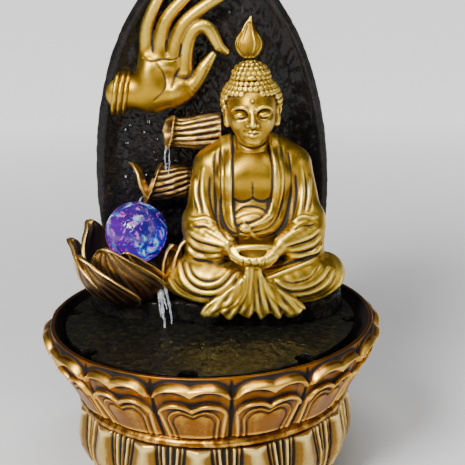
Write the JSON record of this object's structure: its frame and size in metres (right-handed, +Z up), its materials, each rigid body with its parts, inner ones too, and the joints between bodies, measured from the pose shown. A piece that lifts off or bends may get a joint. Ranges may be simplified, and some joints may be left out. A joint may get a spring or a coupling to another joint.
{
  "type": "tabletop water fountain",
  "caption": "Tabletop water fountain: lotus basin and plinth, oval backboard with hand relief, leaf spouts, lotus cup with glowing rolling ball, and a seated meditating figure.",
  "frame": {"origin": "centre of the footprint, on the table", "axes": "+Z up, front towards -Y, +X to the right seen from the front"},
  "size_m": [0.209, 0.2092, 0.3195],
  "materials": {
    "antique_gold": "antique pale gold paint over resin, satin, brown in the folds",
    "bark_black": "rough black-brown resin, wet",
    "black_plastic": "moulded, fine matt",
    "blue_glass": "crackled, lit from below",
    "board_green": "solder mask",
    "bronze_leaf": "dark bronze paint with gold dry-brushed edges",
    "clear_hose": "milky silicone",
    "clear_lens": "polished",
    "copper_gold": "antique copper-gold paint over resin, satin, dark in the grooves",
    "copper_wire": "enamelled",
    "deck_olive": "rough dark olive resin, wet",
    "ferrite": "sintered, matt",
    "grey_rubber": "matt",
    "iron": "laminated",
    "shaft_ceramic": "ground",
    "sponge": "open-cell foam",
    "steel": "zinc plated",
    "white_plastic": "moulded"
  },
  "bodies": {
    "basin_base": {"basin": "copper_gold", "plinth": "copper_gold", "foot_pads": "grey_rubber", "cable_grommet": "grey_rubber", "pump_housing": "black_plastic", "pump_coil": "copper_wire", "pump_stator": "iron", "pump_shaft": "shaft_ceramic", "pump_volute": "black_plastic", "pump_gland": "grey_rubber", "suction_cups": "grey_rubber"},
    "pump_impeller": {"impeller_magnet": "ferrite", "impeller_blades": "white_plastic"},
    "inlet_cover": {"pump_cover": "black_plastic", "filter_sponge": "sponge"},
    "flow_regulator": {"flow_dial": "black_plastic"},
    "upper_assembly": {"deck": "deck_olive", "rock_step": "bark_black", "backboard": "bark_black", "rear_cover": "black_plastic", "cover_screws": "steel", "hand_relief": "antique_gold", "hand_bangles": "antique_gold", "lotus_bud": "antique_gold", "upper_leaf": "bronze_leaf", "lower_leaf": "bronze_leaf", "riser_hose": "clear_hose", "spout_hose": "clear_hose", "tee_fitting": "white_plastic", "jet_hose": "clear_hose", "lotus_cup": "bronze_leaf", "outer_petals": "bronze_leaf", "inner_petals": "bronze_leaf", "jet_nozzle": "white_plastic", "lamp_housing": "black_plastic", "lamp_board": "board_green", "lamp_seal": "grey_rubber", "lamp_lens": "clear_lens", "seated_figure": "antique_gold"},
    "rolling_ball": {"glass_ball": "blue_glass"}
  },
  "joints": [
    {"name": "upper_lift", "type": "slide", "parent": "basin_base", "child": "upper_assembly", "axis": [0, 0, 1], "range_m": [0, 0.12]},
    {"name": "ball_spin", "type": "hinge", "parent": "upper_assembly", "child": "rolling_ball", "pos_m": [-0.046, 0.016, 0.1538], "axis": [1, 0, 0], "continuous": true},
    {"name": "impeller_spin", "type": "hinge", "parent": "basin_base", "child": "pump_impeller", "pos_m": [0, 0.0495, 0.0585], "axis": [1, 0, 0], "continuous": true},
    {"name": "inlet_pull", "type": "slide", "parent": "basin_base", "child": "inlet_cover", "axis": [1, 0, 0], "range_m": [0, 0.011]},
    {"name": "flow_turn", "type": "hinge", "parent": "inlet_cover", "child": "flow_regulator", "pos_m": [0.026, 0.0495, 0.0615], "axis": [1, 0, 0], "range_deg": [-75, 75]}
  ]
}
